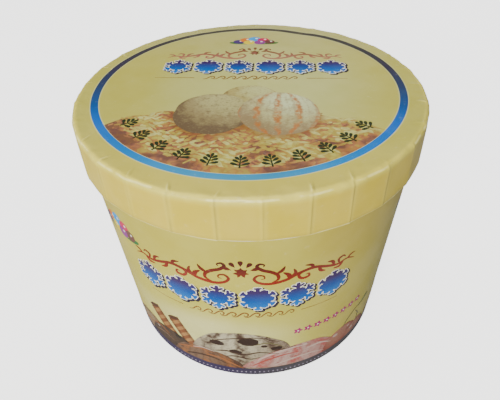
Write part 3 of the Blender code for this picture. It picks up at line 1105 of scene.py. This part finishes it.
# The crumbs' print: each crumb has one tint, from toast brown by gold to cream, and the
# two larger balls throw a shadow on them
CRUMB_STOPS = (
    (0.0, (0.120, 0.056, 0.042)), (0.16, (0.205, 0.090, 0.055)), (0.30, (0.310, 0.130, 0.055)),
    (0.44, (0.320, 0.222, 0.052)), (0.72, (0.365, 0.330, 0.070)), (1.0, (0.430, 0.425, 0.150)),
)
crumb_ink, tree = painted("crumb_print")
place = print_map(tree)
gap, cell = fed_node(tree, "ShaderNodeTexVoronoi", {"Vector": place, "Scale": 30.0})[:2]
own_tint = fed_node(tree, "ShaderNodeSeparateColor", {0: cell})[0]
patch = between(cloud(place, 4.5, 3.0, (1.0, 1.6, 1.0)), 0.30, 0.66)
share = (stored(tree, "tint") - 0.5) * 0.75 + (own_tint * 0.30 + patch * 0.66)
share = split(place)[0] * 0.15 + share + 0.13
colour = blend(between(gap, 0.35, 0.8) * 0.32, ramp(share, CRUMB_STOPS), (0.180, 0.095, 0.030))
for centre, radius in (((-0.21, -0.345, 0.0), 0.24), ((0.20, -0.335, 0.0), 0.25)):
    shadow = between(distance(place, centre), radius + 0.05, radius)
    colour = blend(shadow * 0.6, colour, (0.185, 0.068, 0.024))
finish_print(crumb_ink, colour, 0.08)


def scattered_flakes(tree, given):
    """Scatters five-sided flakes over a flat bed, each with its own turn, lift and tint."""
    inputs = {
        "Mesh": given["Geometry"], "Distance Min": given["Spacing"],
        "Density Max": given["Density"], "Seed": given["Seed"],
    }
    kind = "GeometryNodeDistributePointsOnFaces"
    points = fed_node(tree, kind, inputs, distribute_method="POISSON")[0]
    inputs = {"Vertices": 5, "Radius": given["Flake"]}
    disc = fed_node(tree, "GeometryNodeMeshCircle", inputs, fill_type="NGON")[0]
    quarter = 0.5 * math.pi
    lift = random_value(tree, (0.0, -0.06 * MM, 0.0), (0.0, 0.0, 0.0), 1)
    tilt = random_value(tree, (quarter, -0.9, 0.0), (quarter, 0.9, 0.0), 2)
    size = random_value(tree, (0.8, 0.3, 1.0), (2.1, 0.75, 1.0), 3)
    flakes = copied(moved(points, Offset=lift), disc, Rotation=tilt, Scale=size)
    return marked_as(flakes, "tint", random_value(tree, 0.1, 1.0, 4), "INSTANCE")


def along_ring(radii, turns):
    """Points on an oval just inside the lid's ring, at angles from the front."""
    return [(radii[0] * math.sin(turn) - 1.0, 1.9 - radii[1] * math.cos(turn)) for turn in turns]


bed_edge = smooth_line([
    (-84, -48), (-77, -42), (-69, -37), (-60, -36), (-51, -31), (-38, -33),
    (-24, -30), (-8, -33), (8, -31), (26, -33), (42, -33), (52, -37),
    (62, -38), (72, -44), (81, -50),
], 4)
turns = [math.radians(57.2 - 115.6 * step / 40.0) for step in range(41)]
crumbs = flat_art("lid_crumbs", [(bed_edge + along_ring((97.6, 95.8), turns), 0.04, WHITE_INK)])
on_lid(crumbs, crumb_ink)
flakes = flat_art("lid_flakes", [(bed_edge + along_ring((91.4, 89.8), turns[1:-1]), 0.07, WHITE_INK)])
sizes = {"Density": 400000.0, "Spacing": 2.6 * MM, "Flake": 2.3 * MM}
scatter = geometry_tree("scattered_flakes", scattered_flakes, Float=list(sizes), Int=["Seed"])
on_lid(apply_tree(flakes, scatter, crumb_ink, {"Seed": 4, **sizes}), crumb_ink)

# Each ball is its centre, radius and lift in millimetres, its inks, grain and ripple
COFFEE_INKS = ((0.105, 0.072, 0.040), (0.225, 0.182, 0.082), (0.350, 0.330, 0.145))
CREAM_INKS = ((0.215, 0.160, 0.080), (0.365, 0.345, 0.165), (0.450, 0.490, 0.280))
PALE_INKS = ((0.180, 0.125, 0.050), (0.310, 0.265, 0.090), (0.385, 0.390, 0.165))
CREAM_RIPPLE = ((0.330, 0.130, 0.040), 4.2, 1.3)
lid_balls = {
    "lid_ball_pale": ((1, -16), 19, 0.17, PALE_INKS, (17, 1)),
    "lid_ball_coffee": ((-21, -33), 24, 0.19, COFFEE_INKS, (23, 1.15)),
    "lid_ball_cream": ((20, -32), 25, 0.21, CREAM_INKS, (16, 0.9), CREAM_RIPPLE),
}
for i, (name, (centre, radius, lift, *look)) in enumerate(lid_balls.items()):
    art = flat_art(name, [(lumpy(centre, radius, 0.018, 31 + i), lift, WHITE_INK)])
    on_lid(art, ball_print(name, centre, radius, 0.3, *look))


# The wall's pictures. Along the foot of each panel stand balls of chocolate, cream and
# berry ice cream with wafer rolls and cherries, printed up from the dark foot band.
FOOT_BAND_TOP = 9.7
TOFFEE_INKS = ((0.060, 0.032, 0.016), (0.130, 0.074, 0.034), (0.205, 0.140, 0.075))
CHOCOLATE_INKS = ((0.006, 0.004, 0.003), (0.015, 0.009, 0.006), (0.060, 0.036, 0.022))
CARAMEL_INKS = ((0.036, 0.017, 0.010), (0.080, 0.038, 0.022), (0.145, 0.086, 0.050))
VANILLA_INKS = ((0.070, 0.042, 0.030), (0.205, 0.160, 0.108), (0.372, 0.340, 0.232))
BERRY_INKS = ((0.200, 0.046, 0.038), (0.300, 0.130, 0.110), (0.360, 0.250, 0.215))
CHERRY_INKS = ((0.070, 0.016, 0.012), (0.195, 0.050, 0.034), (0.285, 0.135, 0.092))
VANILLA_RIPPLE = ((0.050, 0.026, 0.016), 3.1, 2.0)
CARAMEL_RIPPLE = ((0.205, 0.080, 0.026), 3.3, 2.0)
BERRY_RIPPLE = ((0.315, 0.080, 0.068), 3.4, 2.0)
wall_balls = {
    "wall_ball_toffee": ((-87, 10), 23.5, 0.10, TOFFEE_INKS, (13, 1.4)),
    "wall_ball_vanilla": ((-4, 19), 39, 0.115, VANILLA_INKS, (13, 0.9), VANILLA_RIPPLE),
    "wall_ball_chocolate": ((-62, 6), 27, 0.13, CHOCOLATE_INKS, (15, 1.6)),
    "wall_ball_caramel": ((-32, -3), 33, 0.145, CARAMEL_INKS, (16, 1.5), CARAMEL_RIPPLE),
    "wall_ball_berry": ((38, -8), 45, 0.16, BERRY_INKS, (16, 1.1), BERRY_RIPPLE),
    "wall_cherry_first": ((79, 12), 18, 0.175, CHERRY_INKS, (8, 0.2)),
    "wall_cherry_second": ((96.5, 8), 14.3, 0.19, CHERRY_INKS, (8, 0.2)),
}
for i, (name, (centre, radius, lift, *look)) in enumerate(wall_balls.items()):
    outline = [spot for spot in lumpy(centre, radius, 0.02, 51 + i) if spot[1] > FOOT_BAND_TOP - 2.0]
    art = flat_art(name, [([(x, max(z, FOOT_BAND_TOP)) for x, z in outline], lift, WHITE_INK)])
    on_wall(art, ball_print(name, centre, radius, -0.2, *look), 1.5)

# Two wafer rolls stand in the chocolate: bands of four lanes that shade off to the sides
WAFER_INKS = ((0.165, 0.058, 0.018), (0.300, 0.150, 0.050))
WAFER_BANDS = 11
small_shapes = []
for foot, tip, half in (((-56.0, 22.0), (-74.0, 54.0), 6.4), ((-40.0, 22.0), (-55.0, 54.0), 5.8)):
    run, climb = tip[0] - foot[0], tip[1] - foot[1]
    length = math.hypot(run, climb)
    side = (climb / length * half, -run / length * half)
    for band in range(WAFER_BANDS):
        for lane, shade in ((-0.75, 0.62), (-0.25, 1.0), (0.25, 0.92), (0.75, 0.6)):
            corners = []
            for step, way in ((band, -0.25), (band, 0.25), (band + 1, 0.25), (band + 1, -0.25)):
                way += lane
                share = step / WAFER_BANDS + 0.05 * way
                x, z = foot[0] + run * share, foot[1] + climb * share
                corners.append((x + side[0] * way, z + side[1] * way))
            small_shapes.append((corners, 0.035, tuple(shade * value for value in WAFER_INKS[band % 2])))
    mouth = []
    for x, z in ring_of((0.0, 0.0), 0.97, 18):
        out = z * 2.2 / length
        mouth.append((tip[0] + side[0] * x + run * out, tip[1] + side[1] * x + climb * out))
    small_shapes.append((mouth, 0.037, (0.060, 0.024, 0.010)))

# Flakes of chocolate lie on the cream. Folds, veins and the cherries' stems are brush
# lines, each with its width, its ink and its points. Glints and a leaf come last.
CHIP_INK = (0.022, 0.010, 0.006)
VEIN_INK = (0.040, 0.020, 0.012)
ORANGE_INK = (0.230, 0.088, 0.032)
BLUSH_INK = (0.400, 0.300, 0.255)
ROSE_INK = (0.290, 0.062, 0.050)
STEM_INK = (0.105, 0.092, 0.036)
chips = (
    (-21, 42, 5.2, 3), (2, 47, 7.6, 5), (22, 37, 4, 8), (-8, 33, 4.6, 9),
    (13, 41, 2.4, 12),
)
fold_lines = (
    (0.9, VEIN_INK, [(-29, 38), (-20, 46), (-6, 51), (10, 52), (24, 45)]),
    (1.7, VEIN_INK, [(-25, 30), (-14, 33), (-2, 30), (10, 33), (24, 29)]),
    (1.3, VEIN_INK, [(-16, 25), (-8, 27), (2, 24), (10, 26)]),
    (1.1, STEM_INK, [(6, 43), (16, 45), (27, 38)]),
    (1.3, VEIN_INK, [(20, 36), (28, 34), (36, 36)]),
    (1.7, ORANGE_INK, [(-57, 17), (-47, 23), (-36, 27), (-25, 26)]),
    (2.0, VEIN_INK, [(-50, 12), (-38, 18), (-26, 19), (-14, 14)]),
    (2.2, ORANGE_INK, [(-31, 22), (-20, 21), (-10, 15), (-3, 10)]),
    (1.0, BLUSH_INK, [(-42, 26), (-33, 29.5), (-24, 28)]),
    (1.6, ORANGE_INK, [(-84, 24), (-74, 28), (-65, 24)]),
    (1.5, CARAMEL_INKS[2], [(-82, 17), (-72, 21), (-60, 19)]),
    (1.4, STEM_INK, [(-104, 22), (-96, 29), (-86, 31)]),
    (1.4, ORANGE_INK, [(-101, 14), (-93, 19), (-84, 20)]),
    (2.4, BLUSH_INK, [(8, 22), (18, 29), (32, 33.5), (47, 32)]),
    (1.8, ROSE_INK, [(4, 14), (14, 21), (27, 26), (40, 26)]),
    (1.9, BLUSH_INK, [(46, 27), (57, 27), (68, 20)]),
    (1.6, BLUSH_INK, [(20, 13), (34, 18), (50, 18), (62, 13)]),
    (1.2, ROSE_INK, [(54, 31), (62, 27), (70, 25)]),
    (1.3, STEM_INK, [(79, 28), (83, 36), (91, 42), (99, 43)]),
    (1.2, STEM_INK, [(96, 21), (97, 30), (92, 38)]),
)
glints = ((72, 24, 2.6), (86.5, 24.5, 1.5), (91.5, 17, 2.1), (44, 33.5, 1.6), (-78, 24, 1.5))
for x, z, size, seed in chips:
    small_shapes.append((lumpy((x, z), size, 0.07, seed, 0.62, 20), 0.2, CHIP_INK))
for thick, ink, line in fold_lines:
    small_shapes.append((brush(line, thick, 0.3), 0.21 + 0.002 * (len(small_shapes) % 7), ink))
for x, z, size in glints:
    small_shapes.append((lumpy((x, z), size, 0.09, 17, 0.6, 16), 0.205, BLUSH_INK))
small_shapes.append((drop((95.0, 41.0), 62.0, 13.0, 5.4), 0.15, (0.085, 0.110, 0.034)))
on_wall(flat_art("wall_wafers_and_flakes", small_shapes))


# The small print. A row of rosettes and a row of dots on the wall, an arc of leaf sprigs
# on the lid's crumbs, and on both a little heap of coloured balls between two leaves.
MAGENTA_INK = (0.270, 0.014, 0.110)
SPRIG_INK = (0.018, 0.026, 0.012)
LEAF_INK = (0.026, 0.121, 0.033)
DOT_INK = (0.325, 0.288, 0.385)


def motif_arc(tree, given):
    """Sets one motif along an arc round the axis, each with its head to the middle."""
    index = fed_node(tree, "GeometryNodeInputIndex")[0]
    bearing = (index / (given["Count"] - 1.0) - 0.5) * given["Spread"]
    across = given["Radius"] * number("SINE", bearing)
    up = given["Radius"] * number("COSINE", bearing) * -1.0
    spot = fed_node(tree, "ShaderNodeCombineXYZ", {0: across, 2: up})[0]
    turn = fed_node(tree, "ShaderNodeCombineXYZ", {1: bearing * -1.0})[0]
    line = fed_node(tree, "GeometryNodeMeshLine", {"Count": given["Count"]})[0]
    return copied(moved(line, Position=spot), given["Geometry"], Rotation=turn)


stem = [((-0.5, -5.4), (0.5, -5.4)), ((-0.4, 0.0), (0.4, 0.0)), ((-0.15, 4.0), (0.15, 4.0))]
sprig_shapes = [(stem, 0.16, SPRIG_INK)]
for i, (height, turn) in enumerate(((-3.6, 62.0), (-1.0, 54.0), (1.4, 44.0))):
    for side in (1.0, -1.0):
        leaf = drop((0.0, height), side * turn, 6.0 - 0.8 * i, 3.0)
        sprig_shapes.append((leaf, 0.165 + 0.004 * i, SPRIG_INK))
sprig_shapes.append((drop((0.0, 2.2), 0.0, 4.2, 2.6), 0.18, SPRIG_INK))
sprigs = flat_art("lid_sprigs", sprig_shapes)
sizes = {"Radius": 83.5 * MM, "Spread": math.radians(114.0)}
arc = geometry_tree("motif_arc", motif_arc, Int=["Count"], Float=list(sizes))
on_lid(apply_tree(sprigs, arc, printed_ink, {"Count": 11, **sizes}))

petals = ring_of((0.0, 0.0), 3.2, 30, lambda turn: 0.82 + 0.3 * math.cos(5.0 * turn))
eye = ring_of((0.0, 0.0), 0.75, 10)
rosettes = flat_art("wall_rosettes", [(petals, 0.04, MAGENTA_INK), (eye, 0.05, WHITE_INK)])
on_wall(in_row(rosettes, 8, (37.0, 54.0), (7.5, 0.2)))

dots = flat_art("wall_foot_dots", [(ring_of((0.0, 0.0), 0.62, 8), 0.04, DOT_INK)])
on_wall(in_row(dots, 38, (-64.0, 4.6), (3.5, 0.0)))

heap_balls = (
    (-12.0, 2.6, 4.4, (0.063, 0.038, 0.132)), (-6.8, 6.6, 4.6, (0.520, 0.140, 0.020)),
    (0.2, 8.6, 5.0, (0.023, 0.256, 0.620)), (7.2, 6.8, 4.6, (0.462, 0.020, 0.080)),
    (12.2, 2.6, 4.2, (0.116, 0.050, 0.040)), (-3.6, 1.6, 4.4, (0.560, 0.440, 0.020)),
    (4.6, 1.4, 4.4, (0.200, 0.040, 0.200)),
)


def heap_art(name, centre, scale, squash):
    """A little heap of coloured balls, each with a glint, between two leaves."""
    def squashed(outline, level):
        return [(x, level + (z - level) * squash) for x, z in outline]

    shapes = []
    for side in (1.0, -1.0):
        foot = (centre[0] + side * 5.0 * scale, centre[1] - 3.0 * scale * squash)
        leaf = drop(foot, side * 74.0, 15.0 * scale, 5.4 * scale)
        shapes.append((squashed(leaf, foot[1]), 0.035, LEAF_INK))
    for i, (x, z, radius, ink) in enumerate(heap_balls):
        radius = radius * scale
        x, z = centre[0] + x * scale, centre[1] + z * scale * squash
        glint = ring_of((x + 0.3 * radius, z + 0.35 * radius * squash), 0.22 * radius, 10)
        shapes.append((squashed(ring_of((x, z), radius, 22), z), 0.045 + 0.008 * i, ink))
        shapes.append((glint, 0.049 + 0.008 * i, WHITE_INK))
    return flat_art(name, shapes)


on_lid(heap_art("lid_heap", (-1.2, 73.0), 0.98, 0.85))
on_wall(heap_art("wall_heap", (-88.0, 122.0), 1.05, 1.0))


# The floor and the light: a pale sweep that glows a little to the camera, under a broad
# soft light from the left front, with weaker ones from overhead and from behind.
LIGHT_AIM = Vector((0.0, 0.0, 0.1))

floor_mesh = bpy.data.meshes.new("floor")
floor_mesh.from_pydata([(-3, -3, 0), (3, -3, 0), (3, 3, 0), (-3, 3, 0)], [], [(0, 1, 2, 3)])
floor = linked("floor", floor_mesh)
floor_paint, tree = painted("floor_paint")
shader = tree.nodes["Principled BSDF"].inputs
feed(shader["Base Color"], (0.35, 0.35, 0.345))
feed(shader["Roughness"], 0.8)
feed(shader["Emission Color"], (1.0, 1.0, 1.0))
feed(shader["Emission Strength"], fed_node(tree, "ShaderNodeLightPath")[0] * 2.4)
floor_mesh.materials.append(floor_paint)

world = bpy.data.worlds.new("studio")
world.use_nodes = True
sky = world.node_tree.nodes["Background"].inputs
feed(sky["Color"], (1.0, 1.0, 1.0))
feed(sky["Strength"], fed_node(world.node_tree, "ShaderNodeLightPath")[0] * 1.6 + 0.07)
bpy.context.scene.world = world


def soft_light(name, place, width, power):
    """A square area light at a place, turned to face the tub."""
    lamp = bpy.data.lights.new(name, "AREA")
    lamp.size = width
    lamp.energy = power
    lamp.color = (1.0, 0.975, 0.93)
    light = linked(name, lamp)
    light.location = place
    light.rotation_euler = (LIGHT_AIM - Vector(place)).to_track_quat("-Z", "Y").to_euler()
    return light


soft_light("key", (-0.95, -2.75, 1.45), 1.0, 215.0)
soft_light("overhead", (-0.3, -0.1, 2.7), 1.4, 58.0)
soft_light("back", (0.45, 2.95, 0.6), 1.4, 92.0).visible_glossy = False
